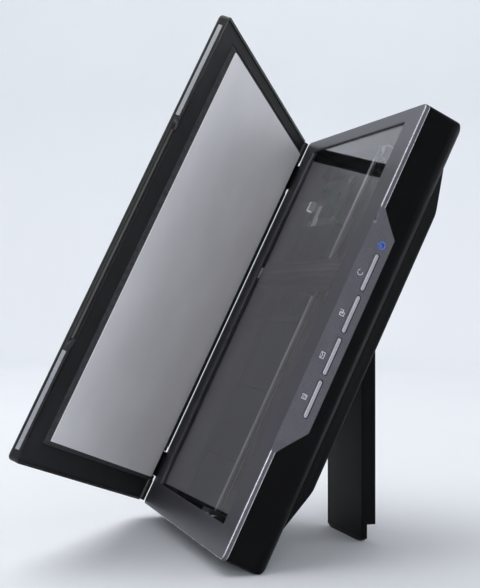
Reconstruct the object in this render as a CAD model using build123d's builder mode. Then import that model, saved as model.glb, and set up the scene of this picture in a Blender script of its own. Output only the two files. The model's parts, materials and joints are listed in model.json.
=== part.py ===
from build123d import *
from math import cos, pi, radians, sin, tan
import os

# Flatbed scanner standing on its folding leg, with its lid part open. Millimetres, +Z up.
# The body is drawn on the plane "bed": x runs from the hinge side to the button side,
# y from the bottom end to the top end, z out of the glass. The bezel's face is z = 0.

# ---- body ----
width = 249.0
length = 364.0
case_depth = 36.5
lean = 25.8
wall = 2.2
corner_radius = 5.0
roll_radius = 11.0
seam_gap = 0.15

# ---- bezel, window and glass ----
bezel_skirt = 4.0
bezel_plate = 1.6
bezel_edge = 0.9
window_corner = 1.5
window_chamfer = 0.7
window_left = 23.0
window_right = 28.0
window_bottom = 22.0
window_top = 12.0
glass_thickness = 3.0
glass_overlap = 7.0
strip_width = 4.0
strip_thickness = 0.4

# ---- button wing on the side ----
wing_bottom = 84.0
wing_length = 194.0
wing_top = wing_bottom + wing_length
wing_bottom_run = 22.0
wing_top_run = 18.0
wing_depth = 21.0
wing_thickness = 3.4
wing_dish = 1.8
dish_run = 10.0
button_count = 4
button_pitch = 33.7
first_button = wing_bottom + 45.6
button_length = 29.2
button_width = 3.0
button_centre_depth = 13.4
button_gap = 0.6
button_travel = 0.6
button_flange = 1.2
power_light_y = wing_top - 25.5
power_light_radius = 1.5

# ---- hull on the underside and the folding leg ----
hull_bottom = 37.0
hull_top = length - 34.0
hull_slope_run = 36.0
hull_side_inset = 12.0
hull_side_draft = 4.0
leg_width = 76.0
leg_thickness = 12.0
hull_depth = leg_thickness + 1.0
leg_front = 4.0
leg_pivot_y = hull_top - 79.0
leg_tip_height = 14.0
leg_tip_thickness = 4.5
leg_hollow = 8.0
leg_side_gap = 1.0
leg_pocket_gap = 0.6
axle_radius = 2.0
running_gap = 0.05
foot_radius = 6.0
foot_proud = 1.5
foot_sunk = 1.0
heel_width = 8.0
heel_proud = 0.6
heel_length = 170.0
heel_height = 2.0

# ---- lid ----
lid_angle = 36.7
lid_end_gap = 1.0
lid_thickness = 7.5
lid_skin = 2.0
lid_corner = 4.0
lid_frame_thickness = 1.8
lid_lip = 1.0
hinge_x = -0.6
mat_drop = 3.0
sheet_thickness = 0.6
mat_gap = 0.3
hinge_z = mat_drop + sheet_thickness + mat_gap
mat_edge = 3.6
mat_bottom_end = 20.0
mat_top_end = 12.0
mat_free_edge = 27.0
mat_taper = 50.0
groove_width = 0.8
groove_depth = 0.6
trim_thickness = 0.3
trim_height = 3.2
grip_bottom = wing_bottom + 6.0
grip_top = wing_top - 3.0
grip_depth = 2.4

# ---- hinges ----
hinge_inset = 25.7
hinge_length = 23.3
knuckle_radius = 3.0
hinge_pin_radius = 1.25
ear_length = 4.0
ear_gap = 0.4
ear_reach = 8.0
stem_left = 2.6
stem_right = 4.9
link_low = 0.3
link_high = 1.9
clip_length = 5.0
stem_depth = 26.0
stem_gap = 0.2

# ---- scanning carriage and its drive ----
rail_x = width / 2
rail_depth = 27.0
rail_radius = 3.0
carriage_home = 230.0
carriage_length = 22.0
carriage_end_gap = 14.0
carriage_top = 8.0
carriage_bottom = 21.0
drive_y = 14.0
idler_y = length - 14.0
pulley_x = rail_x + 14.5
belt_width = 6.0
belt_thickness = 1.0
pulley_radius = 4.2
gear_module = 0.5
gear_teeth = 24
pinion_teeth = 12
gear_width = 4.0
motor_radius = 10.0
motor_length = 18.0
motor_shaft_radius = 1.0
shaft_radius = 1.5
belt_slack = 0.05
spring_radius = 3.0
spring_places = (rail_x - 74.5, rail_x + 75.5)

mid_x = width / 2
case_back = -case_depth
hull_back = -case_depth - hull_depth
case_top = -bezel_skirt
floor = case_back + wall

# ---- where the body stands ----
s, c = sin(radians(lean)), cos(radians(lean))
roll_centre_y = roll_radius
roll_centre_z = case_back + roll_radius
heel_back = roll_centre_y * s - roll_centre_z * c
heel_low = roll_centre_y * c + roll_centre_z * s - roll_radius
bed = Plane(
    origin=(-mid_x, -heel_back, heel_proud - heel_low),
    x_dir=(1, 0, 0),
    z_dir=(0, -c, s),
)
lid_bed = Plane(
    origin=bed.from_local_coords((hinge_x, 0, hinge_z)),
    x_dir=bed.x_dir * cos(radians(lid_angle)) + bed.z_dir * sin(radians(lid_angle)),
    z_dir=bed.z_dir * cos(radians(lid_angle)) - bed.x_dir * sin(radians(lid_angle)),
)
up_bed = Axis(bed.origin, bed.z_dir)

os.makedirs("parts", exist_ok=True)


def across(base, x):
    # plane square to the base's x direction: y is drawn to the right, z up
    return Plane(origin=base.from_local_coords((x, 0, 0)), x_dir=base.y_dir, z_dir=base.x_dir)


def station(base, y):
    # plane square to the base's y direction: z is drawn to the right, x up
    return Plane(origin=base.from_local_coords((0, y, 0)), x_dir=base.z_dir, z_dir=base.y_dir)


def block(base, x, y, z, mode=Mode.ADD, radius=0):
    # box between two corners in the base's own directions
    with BuildSketch(base.offset(z[0])) as outline:
        with Locations(((x[0] + x[1]) / 2, (y[0] + y[1]) / 2)):
            if radius:
                RectangleRounded(x[1] - x[0], y[1] - y[0], radius)
            else:
                Rectangle(x[1] - x[0], y[1] - y[0])
    extrude(outline.sketch, amount=z[1] - z[0], mode=mode)


def disc(plane, x, y, radius, height, mode=Mode.ADD):
    # round boss, pin or hole that starts on the plane
    with BuildSketch(plane) as outline:
        with Locations((x, y)):
            Circle(radius)
    extrude(outline.sketch, amount=height, mode=mode)


def prism(plane, points, height, mode=Mode.ADD):
    with BuildSketch(plane) as outline:
        with BuildLine():
            Polyline(*points, close=True)
        make_face()
    extrude(outline.sketch, amount=height, mode=mode)


def save(builder, name):
    builder.part.label = name
    export_step(builder.part, f"parts/{name}.step")


def tub(inset, top):
    # body block whose four lower edges roll under
    radius = roll_radius - inset
    low = case_back + inset
    with BuildPart() as solid:
        block(bed, (inset, width - inset), (inset, length - inset), (low, top), radius=corner_radius - inset)
        with BuildSketch(across(bed, inset)) as side:
            with Locations((length / 2, (low + top + radius) / 2)):
                RectangleRounded(length - 2 * inset, top + radius - low, radius)
        extrude(side.sketch, amount=width - 2 * inset, mode=Mode.INTERSECT)
        with BuildSketch(station(bed, inset)) as end:
            with Locations(((low + top + radius) / 2, mid_x)):
                RectangleRounded(top + radius - low, width - 2 * inset, radius)
        extrude(end.sketch, amount=length - 2 * inset, mode=Mode.INTERSECT)
    return solid.part


def wing_outline(grow, top):
    low = -wing_depth - grow
    return [
        (wing_bottom - grow, top),
        (wing_bottom - grow, case_top),
        (wing_bottom + wing_bottom_run - grow, low),
        (wing_top - wing_top_run + grow, low),
        (wing_top + grow, case_top),
        (wing_top + grow, top),
    ]


# ---- shared places ----
screw_inset = 10.0
boss_radius = 3.2
screw_radius = 1.5
screw_head_radius = 2.8
screw_head_sink = 3.0
screw_places = [
    (x, y) for x in (screw_inset, width - screw_inset) for y in (screw_inset, length - screw_inset)
]
hinge_starts = (hinge_inset, length - hinge_inset - hinge_length)
stem_width = hinge_length - 5.0
usb_y = length - 54.0
usb_width = 8.0
usb_height = 3.0
board_lift = 2.4
board_thickness = 1.6
board_z = floor + board_lift
usb_z = board_z + board_thickness + usb_height / 2
main_x = (stem_right + wall + 0.5, 80.0)
main_y = (usb_y - 22.0, usb_y + 26.0)
rib_thickness = 1.6
shield_wall = 1.5
shield_x = (14.0, rail_x - 12.5)
shield_y = (main_y[0] - 92.0, main_y[0] - 4.0)
shield_top = -carriage_bottom - 1.5
window_x = (window_left, width - window_right)
window_y = (window_bottom, length - window_top)
glass_x = (window_x[0] - glass_overlap, window_x[1] + glass_overlap)
glass_y = (window_y[0] - glass_overlap, window_y[1] + glass_overlap)
glass_top = -bezel_plate
glass_low = glass_top - glass_thickness
heel_x = (-heel_length / 2, heel_length / 2)
heel_y = (-heel_width / 2, heel_width / 2)
wing_inside = width - wing_thickness
button_starts = [first_button + i * button_pitch - button_length / 2 for i in range(button_count)]
pivot_z = hull_back + leg_thickness - leg_front
pivot = bed.from_local_coords((mid_x, leg_pivot_y, pivot_z))
leg_reach = pivot.Z
pocket_x = (mid_x - leg_width / 2 - leg_side_gap, mid_x + leg_width / 2 + leg_side_gap)
pocket_floor = pivot_z + leg_front + leg_pocket_gap
pocket_top_y = leg_pivot_y + leg_thickness - leg_front + 2.5

# ---- lower case: side walls, rolled edges and the flat back ----
tub_outer = tub(0, case_top)
tub_inner = tub(wall, case_top)
with BuildPart() as lower_case:
    add(tub_outer)
    add(tub_inner, mode=Mode.SUBTRACT)
    prism(across(bed, width - wall - 1), wing_outline(seam_gap, case_top + 1), wall + 2, Mode.SUBTRACT)
    for x, y in screw_places:
        disc(bed.offset(floor - 0.5), x, y, boss_radius, case_top - 5.0 - floor)
        disc(bed.offset(case_back - 1), x, y, screw_head_radius + 0.2, screw_head_sink + 1, Mode.SUBTRACT)
        disc(bed.offset(case_back), x, y, screw_radius + 0.2, case_depth, Mode.SUBTRACT)
    for start in hinge_starts:
        block(bed, (wall - 0.5, stem_right + wall), (start, start + hinge_length), (floor - 0.5, -5.0))
        block(
            bed,
            (stem_left - stem_gap, stem_right + stem_gap),
            (start + 2.5 - stem_gap, start + 2.5 + stem_width + stem_gap),
            (-stem_depth - stem_gap, 0),
            Mode.SUBTRACT,
        )
    # opening for the data socket on the hinge side
    block(
        bed, (-1, wall + 2.5),
        (usb_y - usb_width / 2 - 1, usb_y + usb_width / 2 + 1),
        (usb_z - usb_height / 2 - 1, usb_z + usb_height / 2 + 1),
        Mode.SUBTRACT,
    )
    # stiffening ribs on the floor
    for x, count in ((shield_x, 2), ((rail_x + 25.5, width - 9.0), 4)):
        for step in range(1, count + 1):
            y = step * shield_y[0] / 3
            block(bed, x, (y, y + rib_thickness), (floor - 0.5, floor + 3.0))
    # groove for the heel strip
    block(Plane.XY, heel_x, heel_y, (0, heel_height), Mode.SUBTRACT)
save(lower_case, "lower_case")

# ---- heel strip the body stands on ----
with BuildPart() as heel_strip:
    block(Plane.XY, heel_x, heel_y, (0, heel_height))
save(heel_strip, "heel_strip")

# ---- top bezel with its window and the button wing ----
with BuildPart() as top_bezel:
    block(bed, (0, width), (0, length), (case_top, 0), radius=corner_radius)
    fillet(top_bezel.faces().sort_by(up_bed)[-1].edges(), bezel_edge)
    fillet(top_bezel.faces().sort_by(up_bed)[0].edges(), 0.25)
    block(
        bed, (wall, width - wall), (wall, length - wall), (case_top - 1, glass_top),
        Mode.SUBTRACT, radius=corner_radius - wall,
    )
    prism(across(bed, wing_inside), wing_outline(0, glass_top), wing_thickness)
    block(bed, window_x, window_y, (case_top, 1), Mode.SUBTRACT, radius=window_corner)
    chamfer(top_bezel.faces().sort_by(up_bed)[-1].inner_wires()[0].edges(), window_chamfer)
    # the wing's face leans in towards the glass, and runs out to nothing at both ends
    dish_ends = (wing_bottom, wing_bottom + dish_run, wing_top - dish_run - 4, wing_top)
    dish_parts = []
    for y, depth in zip(dish_ends, (0.02, wing_dish, wing_dish, 0.02)):
        with BuildSketch(station(bed, y), mode=Mode.PRIVATE) as dish:
            with BuildLine():
                Polyline(
                    (1, width + 1),
                    (1, width - depth),
                    (-wing_depth, width - 0.01),
                    (-wing_depth, width + 1),
                    close=True,
                )
            make_face()
        dish_parts.append(dish.sketch)
    for near, far in zip(dish_parts, dish_parts[1:]):
        loft([near, far], ruled=True, mode=Mode.SUBTRACT)
    for start in button_starts:
        with BuildSketch(across(bed, wing_inside - 1)) as slot:
            with Locations((start + button_length / 2, -button_centre_depth)):
                SlotOverall(button_length + 2 * button_gap, button_width + 2 * button_gap)
        extrude(slot.sketch, amount=wing_thickness + 2, mode=Mode.SUBTRACT)
    disc(across(bed, wing_inside - 1), power_light_y, -button_centre_depth, power_light_radius,
         wing_thickness + 2, Mode.SUBTRACT)
    for x, y in screw_places:
        disc(bed.offset(case_top - 5.0 + seam_gap), x, y, boss_radius, 5.0 + bezel_skirt - bezel_plate)
        disc(bed.offset(case_top - 6.0), x, y, screw_radius + 0.05, 8.0, Mode.SUBTRACT)
    for start in hinge_starts:
        block(
            bed,
            (stem_left - stem_gap, stem_right + stem_gap),
            (start + 2.5 - stem_gap, start + 2.5 + stem_width + stem_gap),
            (case_top - 2, 1),
            Mode.SUBTRACT,
        )
save(top_bezel, "top_bezel")

# ---- glass and the white calibration strip under its top end ----
with BuildPart() as scan_glass:
    block(bed, glass_x, glass_y, (glass_low, glass_top))
save(scan_glass, "scan_glass")

with BuildPart() as calibration_strip:
    block(bed, (glass_x[0] + 2, glass_x[1] - 2), (glass_y[1] - 1 - strip_width, glass_y[1] - 1),
          (glass_low - strip_thickness, glass_low))
save(calibration_strip, "calibration_strip")

# ---- buttons ----
button_face = width - 0.15
flange_back = wing_inside - button_flange
for number, start in enumerate(button_starts, start=1):
    with BuildPart() as button:
        middle = (start + button_length / 2, -button_centre_depth)
        with BuildSketch(across(bed, wing_inside - 0.2)) as cap:
            with Locations(middle):
                SlotOverall(button_length, button_width)
        extrude(cap.sketch, amount=button_face - wing_inside + 0.2)
        fillet(button.faces().sort_by(Axis.X)[-1].edges(), 0.4)
        with BuildSketch(across(bed, flange_back - 0.2)) as flange:
            with Locations(middle):
                SlotOverall(button_length + 2.8, button_width + 2.8)
        extrude(flange.sketch, amount=button_flange)
    save(button, f"button_{number}")

# ---- button board with its switches ----
switch_tip = flange_back - 0.2 - button_travel - 0.1
board_x = switch_tip - 4.6
with BuildPart() as button_board:
    block(bed, (board_x - 1.2, board_x), (wing_bottom + 24, wing_top - 22),
          (-button_centre_depth - 7.1, -button_centre_depth + 5.4))
save(button_board, "button_board")
with BuildPart() as button_switches:
    for start in button_starts:
        centre_y = start + button_length / 2
        block(bed, (board_x, board_x + 3.2), (centre_y - 3, centre_y + 3),
              (-button_centre_depth - 3, -button_centre_depth + 3))
        disc(across(bed, board_x + 3.2), centre_y, -button_centre_depth, 1.2, switch_tip - board_x - 3.2)
save(button_switches, "button_switches")
with BuildPart() as power_light:
    disc(across(bed, board_x + 1.0), power_light_y, -button_centre_depth, power_light_radius - 0.05,
         width - 1.45 - board_x - 1.0)
save(power_light, "power_light")

# ---- hull on the underside ----
hull_left, hull_right = hull_side_inset, width - hull_side_inset


def hull_body(inset):
    with BuildPart() as solid:
        outline = [
            (hull_bottom + inset, case_back),
            (hull_bottom + inset, case_back - 1.5 + min(inset, 0.5)),
            (hull_bottom + hull_slope_run + inset / 3, hull_back + inset),
            (hull_top - hull_slope_run - inset / 3, hull_back + inset),
            (hull_top - inset, case_back - 1.5 + min(inset, 0.5)),
            (hull_top - inset, case_back),
        ]
        prism(across(bed, hull_left + inset), outline, hull_right - hull_left - 2 * inset)
        with BuildSketch(station(bed, hull_bottom)) as sides:
            with BuildLine():
                Polyline(
                    (case_back, hull_left + inset),
                    (case_back, hull_right - inset),
                    (hull_back + inset, hull_right - hull_side_draft - inset),
                    (hull_back + inset, hull_left + hull_side_draft + inset),
                    close=True,
                )
            make_face()
        extrude(sides.sketch, amount=hull_top - hull_bottom, mode=Mode.INTERSECT)
    return solid.part


hull_outer = hull_body(0)
hull_inner = hull_body(wall)
foot_places = [(x, y) for x in (34.0, width - 34.0) for y in (hull_bottom + 48, hull_top - 48)]
with BuildPart() as hull_cover:
    add(hull_outer)
    long_edge = hull_top - hull_bottom - 2 * hull_slope_run - 10
    edges = hull_cover.edges().filter_by(lambda e: e.length > long_edge)
    fillet(edges.sort_by(up_bed)[:2], 4.0)
    with BuildPart(mode=Mode.PRIVATE) as hollow:
        add(hull_inner)
        block(bed, (pocket_x[0] - wall, pocket_x[1] + wall), (0, length), (hull_back - 1, case_back + 1),
              Mode.SUBTRACT)
    add(hollow.part, mode=Mode.SUBTRACT)
    for x, y in foot_places:
        disc(bed.offset(hull_back + wall - 0.4), x, y, foot_radius + 1.5, 2.2)
        disc(bed.offset(hull_back - 1), x, y, foot_radius, 1 + foot_sunk, Mode.SUBTRACT)
    block(bed, pocket_x, (0, pocket_top_y), (hull_back - 1, pocket_floor), Mode.SUBTRACT)
    disc(across(bed, pocket_x[0] - 6), leg_pivot_y, pivot_z, axle_radius + 2.2, 6 - leg_side_gap + 1.0)
    disc(across(bed, pocket_x[1]), leg_pivot_y, pivot_z, axle_radius + 2.2, 6)
    disc(across(bed, pocket_x[0] - 6.5), leg_pivot_y, pivot_z, axle_radius, pocket_x[1] - pocket_x[0] + 13,
         Mode.SUBTRACT)
save(hull_cover, "hull_cover")

with BuildPart() as rubber_feet:
    for x, y in foot_places:
        disc(bed.offset(hull_back - foot_proud), x, y, foot_radius, foot_proud + foot_sunk)
save(rubber_feet, "rubber_feet")

# ---- folding leg, drawn upright where it stands ----
leg_plane = Plane(origin=pivot, x_dir=(0, 1, 0), z_dir=(1, 0, 0))
leg_back = leg_thickness - leg_front
pad_height = 3.0
with BuildPart() as stand_leg:
    with BuildSketch(leg_plane.offset(-leg_width / 2)) as profile:
        with BuildLine():
            Polyline(
                (-leg_front, 0),
                (-leg_front, -leg_reach + pad_height),
                (leg_tip_thickness - leg_front, -leg_reach + pad_height),
                (leg_tip_thickness - leg_front, -leg_reach + leg_tip_height),
                (leg_back, -leg_reach + leg_tip_height),
                (leg_back, leg_front - 2.0),
                (leg_back - 2.0, leg_front),
                (0, leg_front),
            )
            RadiusArc((0, leg_front), (-leg_front, 0), -leg_front)
        make_face()
    extrude(profile.sketch, amount=leg_width)
    fillet(stand_leg.edges().filter_by(Axis.Z).filter_by(lambda e: e.length > leg_reach / 2), 0.8)
    disc(leg_plane.offset(-leg_width / 2 - 1), 0, 0, axle_radius + running_gap, leg_width + 2, Mode.SUBTRACT)
    # the back face is a shallow tray between two side rails
    block(
        Plane(origin=pivot, x_dir=(1, 0, 0), z_dir=(0, 1, 0)),
        (-leg_width / 2 + 9, leg_width / 2 - 9),
        (14, leg_reach - leg_tip_height - 26),
        (leg_back - leg_hollow, leg_back + 1),
        Mode.SUBTRACT,
    )
    for drop in (60.0, 110.0, 160.0):
        block(Plane(origin=pivot, x_dir=(1, 0, 0), z_dir=(0, 1, 0)), (-leg_width / 2 + 8, leg_width / 2 - 8),
              (drop, drop + 2.0), (leg_back - leg_hollow - 0.5, leg_back - 1.0))
save(stand_leg, "stand_leg")

with BuildPart() as stand_foot_pad:
    tip_front = pivot.Y - leg_front
    with BuildSketch(Plane.XZ.offset(-tip_front)) as pad:
        with BuildLine():
            Polyline(
                (-leg_width / 2, pad_height), (-leg_width / 2 + 6, 0.4), (-leg_width / 2 + 12, 0),
                (leg_width / 2 - 12, 0), (leg_width / 2 - 6, 0.4), (leg_width / 2, pad_height), close=True,
            )
        make_face()
    extrude(pad.sketch, amount=-leg_tip_thickness)
save(stand_foot_pad, "stand_foot_pad")

with BuildPart() as stand_axle:
    disc(across(bed, pocket_x[0] - 5.5), leg_pivot_y, pivot_z, axle_radius, pocket_x[1] - pocket_x[0] + 11)
save(stand_axle, "stand_axle")

# ---- lid: outer cover, inner frame, foam mat and white sheet ----
lid_x = (0.0, width - hinge_x)
lid_y = (lid_end_gap, length - lid_end_gap)
notch_x = (-1.0, knuckle_radius + 4.5)


def hinge_notches():
    for start in hinge_starts:
        block(lid_bed, notch_x, (start - 0.4, start + hinge_length + 0.4),
              (-lid_lip - 1, lid_thickness - lid_skin), Mode.SUBTRACT)


with BuildPart() as lid_cover:
    block(lid_bed, lid_x, lid_y, (-lid_lip, lid_thickness), radius=lid_corner)
    fillet(lid_cover.faces().sort_by(Axis(lid_bed.origin, lid_bed.z_dir))[-1].edges(), 2.2)
    block(lid_bed, (lid_x[0] + lid_skin, lid_x[1] - lid_skin), (lid_y[0] + lid_skin, lid_y[1] - lid_skin),
          (-lid_lip - 1, lid_thickness - lid_skin), Mode.SUBTRACT, radius=lid_corner - lid_skin)
    # the hinge side has no lip, so the lid can lie open flat
    block(lid_bed, (-1, lid_corner), (lid_y[0] - 1, lid_y[1] + 1), (-lid_lip - 1, 0), Mode.SUBTRACT)
    hinge_notches()
    for start in hinge_starts:
        block(lid_bed, (-1, ear_reach),
              (start - ear_gap - ear_length - 0.1, start + hinge_length + ear_gap + ear_length + 0.1),
              (-lid_lip - 1, knuckle_radius), Mode.SUBTRACT)
    # shallow finger scallop along the free edge
    scallop = lid_x[1] - grip_depth
    prism(
        lid_bed.offset(-lid_lip - 1),
        [(lid_x[1] + 1, grip_bottom), (lid_x[1], grip_bottom), (scallop, grip_bottom + 9),
         (scallop, grip_top - 9), (lid_x[1], grip_top), (lid_x[1] + 1, grip_top)],
        lid_lip + 1 + lid_thickness / 2, Mode.SUBTRACT,
    )
    # wall behind the scallop
    block(lid_bed, (scallop - lid_skin, scallop), (grip_bottom - 4, grip_top + 4),
          (lid_frame_thickness, lid_thickness - 1))
save(lid_cover, "lid_cover")

# ---- silver strips along the free edge, either side of the scallop ----
with BuildPart() as lid_trim:
    for ends in ((lid_y[0] + 9, grip_bottom - 3), (grip_top + 3, lid_y[1] - 9)):
        block(lid_bed, (lid_x[1], lid_x[1] + trim_thickness), ends, (1.0, 1.0 + trim_height))
save(lid_trim, "lid_trim")

frame_x = (lid_x[0] + lid_skin, scallop - lid_skin)
frame_y = (lid_y[0] + lid_skin, lid_y[1] - lid_skin)
mat_x = (mat_edge, lid_x[1] - mat_free_edge)
mat_y = (mat_bottom_end, length - mat_top_end)
with BuildPart() as lid_frame:
    block(lid_bed, frame_x, frame_y, (0, lid_frame_thickness), radius=lid_corner - lid_skin)
    # fine groove around the foam mat
    block(lid_bed, (mat_x[0], mat_x[1] + groove_width), (mat_y[0] - groove_width, mat_y[1] + groove_width),
          (0, groove_depth), Mode.SUBTRACT)
    block(lid_bed, mat_x, mat_y, (0, groove_depth))
    # stiffening ribs between the frame and the cover
    for share in (0.19, 0.41, 0.63, 0.85):
        y = share * length
        block(lid_bed, (frame_x[0] + 10, frame_x[1] - 6), (y, y + rib_thickness),
              (lid_frame_thickness, lid_thickness - lid_skin))
    hinge_notches()
    # lip that covers the gap between the hinges
    lip_y = (hinge_starts[0] + hinge_length + ear_length + 1, hinge_starts[1] - ear_length - 1)
    block(lid_bed, (0, 1.6), lip_y, (-hinge_z + 0.7, 0))
    block(lid_bed, (0.8, mat_x[0]), lip_y, (-0.8, 0))
    # hinge ears, either side of each knuckle
    for start in hinge_starts:
        for y in (start - ear_gap - ear_length, start + hinge_length + ear_gap):
            disc(station(lid_bed, y), 0, 0, knuckle_radius, ear_length)
            block(lid_bed, (0, ear_reach), (y, y + ear_length), (0, knuckle_radius))
            disc(station(lid_bed, y - 0.5), 0, 0, hinge_pin_radius + running_gap, ear_length + 1,
                 Mode.SUBTRACT)
save(lid_frame, "lid_frame")

with BuildPart() as lid_mat:
    with BuildSketch(Plane(origin=lid_bed.origin, x_dir=lid_bed.x_dir, z_dir=-lid_bed.z_dir)) as base:
        with Locations(((mat_x[0] + mat_x[1]) / 2, -(mat_y[0] + mat_y[1]) / 2)):
            Rectangle(mat_x[1] - mat_x[0], mat_y[1] - mat_y[0])
    extrude(amount=mat_drop, taper=mat_taper)
save(lid_mat, "lid_mat")

mat_inset = mat_drop * tan(radians(mat_taper)) + 0.2
with BuildPart() as mat_sheet:
    block(
        lid_bed,
        (mat_x[0] + mat_inset, mat_x[1] - mat_inset),
        (mat_y[0] + mat_inset, mat_y[1] - mat_inset),
        (-mat_drop - sheet_thickness, -mat_drop),
    )
save(mat_sheet, "mat_sheet")

# ---- hinges: sliding carriers with a knuckle, and their pins ----
for name, start in zip(("hinge_carrier_lower", "hinge_carrier_upper"), hinge_starts):
    with BuildPart() as carrier:
        stem_y = (start + 2.5, start + 2.5 + stem_width)
        block(bed, (stem_left, stem_right), stem_y, (-stem_depth, link_high))
        block(bed, (hinge_x, stem_right), (start, start + hinge_length), (link_low, link_high))
        disc(station(bed, start), hinge_z, hinge_x, knuckle_radius, hinge_length)
        disc(station(bed, start - 1), hinge_z, hinge_x, hinge_pin_radius, hinge_length + 2, Mode.SUBTRACT)
        # detent slot that gives the stem its spring
        block(bed, (stem_left - 1, stem_right + 1), (start + 9.0, start + 14.3),
              (-stem_depth + 3, -8.0), Mode.SUBTRACT)
    save(carrier, name)

with BuildPart() as hinge_pins:
    for start in hinge_starts:
        disc(station(bed, start - ear_gap - ear_length), hinge_z, hinge_x, hinge_pin_radius,
             hinge_length + 2 * (ear_gap + ear_length))
save(hinge_pins, "hinge_pins")

# ---- guide rail and its clips ----
rail_z = -rail_depth
rail_y = (roll_radius - 3.0, length - roll_radius + 3.0)
with BuildPart() as guide_rail:
    disc(station(bed, rail_y[0]), rail_z, rail_x, rail_radius, rail_y[1] - rail_y[0])
save(guide_rail, "guide_rail")

with BuildPart() as rail_clips:
    for y in (roll_radius + 0.2, length - roll_radius - 0.2 - clip_length):
        block(bed, (rail_x - 3.4, rail_x + 3.4), (y, y + clip_length), (floor, rail_z + 1.5))
        disc(station(bed, y), rail_z, rail_x, rail_radius, clip_length, Mode.SUBTRACT)
save(rail_clips, "rail_clips")

# ---- scanning carriage ----
carriage_x = (glass_x[0] - 1, glass_x[1] + 2)
carriage_y = (carriage_home - carriage_length / 2, carriage_home + carriage_length / 2)
sensor_x = (carriage_x[0] + 5, carriage_x[1] - 5)
sensor_half = 7.0
belt_x = (pulley_x - belt_width / 2, pulley_x + belt_width / 2)
belt_front = rail_z + pulley_radius
with BuildPart() as sensor_carriage:
    block(bed, carriage_x, carriage_y, (-carriage_bottom, -carriage_top))
    block(bed, (sensor_x[0] - 0.3, sensor_x[1] + 0.3),
          (carriage_home - sensor_half - 0.3, carriage_home + sensor_half + 0.3),
          (-carriage_bottom + 3.0, 0), Mode.SUBTRACT)
    # bearing block on the rail
    block(
        bed,
        (rail_x - 6.5, rail_x + 6.5),
        (carriage_home - carriage_end_gap, carriage_home + carriage_end_gap),
        (rail_z - 5.0, -carriage_bottom),
    )
    disc(station(bed, carriage_home - carriage_end_gap - 1), rail_z, rail_x, rail_radius + running_gap,
         2 * carriage_end_gap + 2, Mode.SUBTRACT)
    # belt clamp
    block(bed, (belt_x[0] - 2.0, belt_x[1] + 2.5), (carriage_home - 8, carriage_home + 8),
          (belt_front - 2.0, -carriage_bottom))
    block(bed, (belt_x[0] - 0.4, belt_x[1] + 0.4), (carriage_home - 9, carriage_home + 9),
          (belt_front - 0.4, belt_front + belt_thickness + 0.3), Mode.SUBTRACT)
    # pockets for the springs that lift the sensor
    for x in spring_places:
        disc(bed.offset(-carriage_bottom + 1.2), x, carriage_home, spring_radius + 0.4, 4.0, Mode.SUBTRACT)
save(sensor_carriage, "sensor_carriage")

sensor_low = -carriage_bottom + 5.0
sensor_top = glass_low - 1.2
slit_x = (sensor_x[0] + 5, sensor_x[1] - 5)
with BuildPart() as scan_sensor:
    block(bed, sensor_x, (carriage_home - sensor_half, carriage_home + sensor_half),
          (sensor_low, sensor_top))
    chamfer(scan_sensor.faces().sort_by(up_bed)[-1].edges(), 0.8)
    block(bed, slit_x, (carriage_home - 1.2, carriage_home + 1.2), (sensor_top - 4, 0), Mode.SUBTRACT)
    block(bed, slit_x, (carriage_home + 2.6, carriage_home + 4.6), (sensor_top - 1.5, 0), Mode.SUBTRACT)
save(scan_sensor, "scan_sensor")

with BuildPart() as lens_array:
    block(bed, slit_x, (carriage_home - 1.2, carriage_home + 1.2), (sensor_top - 4, sensor_top - 0.2))
save(lens_array, "lens_array")

with BuildPart() as light_guide:
    block(bed, slit_x, (carriage_home + 2.6, carriage_home + 4.6), (sensor_top - 1.5, sensor_top - 0.1))
save(light_guide, "light_guide")

with BuildPart() as glide_pads:
    for x in (sensor_x[0] + 2.5, sensor_x[1] - 2.5):
        block(bed, (x - 1.5, x + 1.5), (carriage_home - 5, carriage_home + 5), (sensor_top, glass_low - 0.3))
save(glide_pads, "glide_pads")

spring_low = -carriage_bottom + 1.2
with BuildPart() as sensor_springs:
    for x in spring_places:
        disc(bed.offset(spring_low), x, carriage_home, spring_radius, sensor_low - spring_low)
        disc(bed.offset(spring_low - 1), x, carriage_home, spring_radius - 0.8, sensor_low - spring_low + 2,
             Mode.SUBTRACT)
save(sensor_springs, "sensor_springs")

# ---- belt, pulleys and gears ----
gear_radius = gear_teeth * gear_module / 2
pinion_radius = pinion_teeth * gear_module / 2
motor_z = rail_z + gear_radius + pinion_radius
gear_x = (belt_x[0] - 0.6 - gear_width, belt_x[0] - 0.6)


def toothed_wheel(plane, x, y, teeth, height, turn):
    pitch_radius = teeth * gear_module / 2
    root, tip = pitch_radius - 1.1 * gear_module, pitch_radius + 0.8 * gear_module
    step = 2 * pi / teeth
    corners = []
    for tooth in range(teeth):
        for share, radius in ((-0.27, root), (-0.11, tip), (0.11, tip), (0.27, root)):
            angle = (tooth + share) * step + turn
            corners.append((x + radius * cos(angle), y + radius * sin(angle)))
    prism(plane, corners, height)


with BuildPart() as drive_pulley:
    disc(across(bed, gear_x[1]), drive_y, rail_z, pulley_radius, belt_width + 1.2)
    for x in (gear_x[1], belt_x[1] + 0.2):
        disc(across(bed, x), drive_y, rail_z, pulley_radius + 1.6, 0.4)
    toothed_wheel(across(bed, gear_x[0]), drive_y, rail_z, gear_teeth, gear_width, 0)
    disc(across(bed, gear_x[0] - 1), drive_y, rail_z, shaft_radius + running_gap, 20, Mode.SUBTRACT)
save(drive_pulley, "drive_pulley")

with BuildPart() as motor_pinion:
    toothed_wheel(across(bed, gear_x[0]), drive_y, motor_z, pinion_teeth, gear_width, pi / pinion_teeth)
    disc(across(bed, gear_x[0] - 1), drive_y, motor_z, motor_shaft_radius, gear_width + 2, Mode.SUBTRACT)
save(motor_pinion, "motor_pinion")

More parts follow.
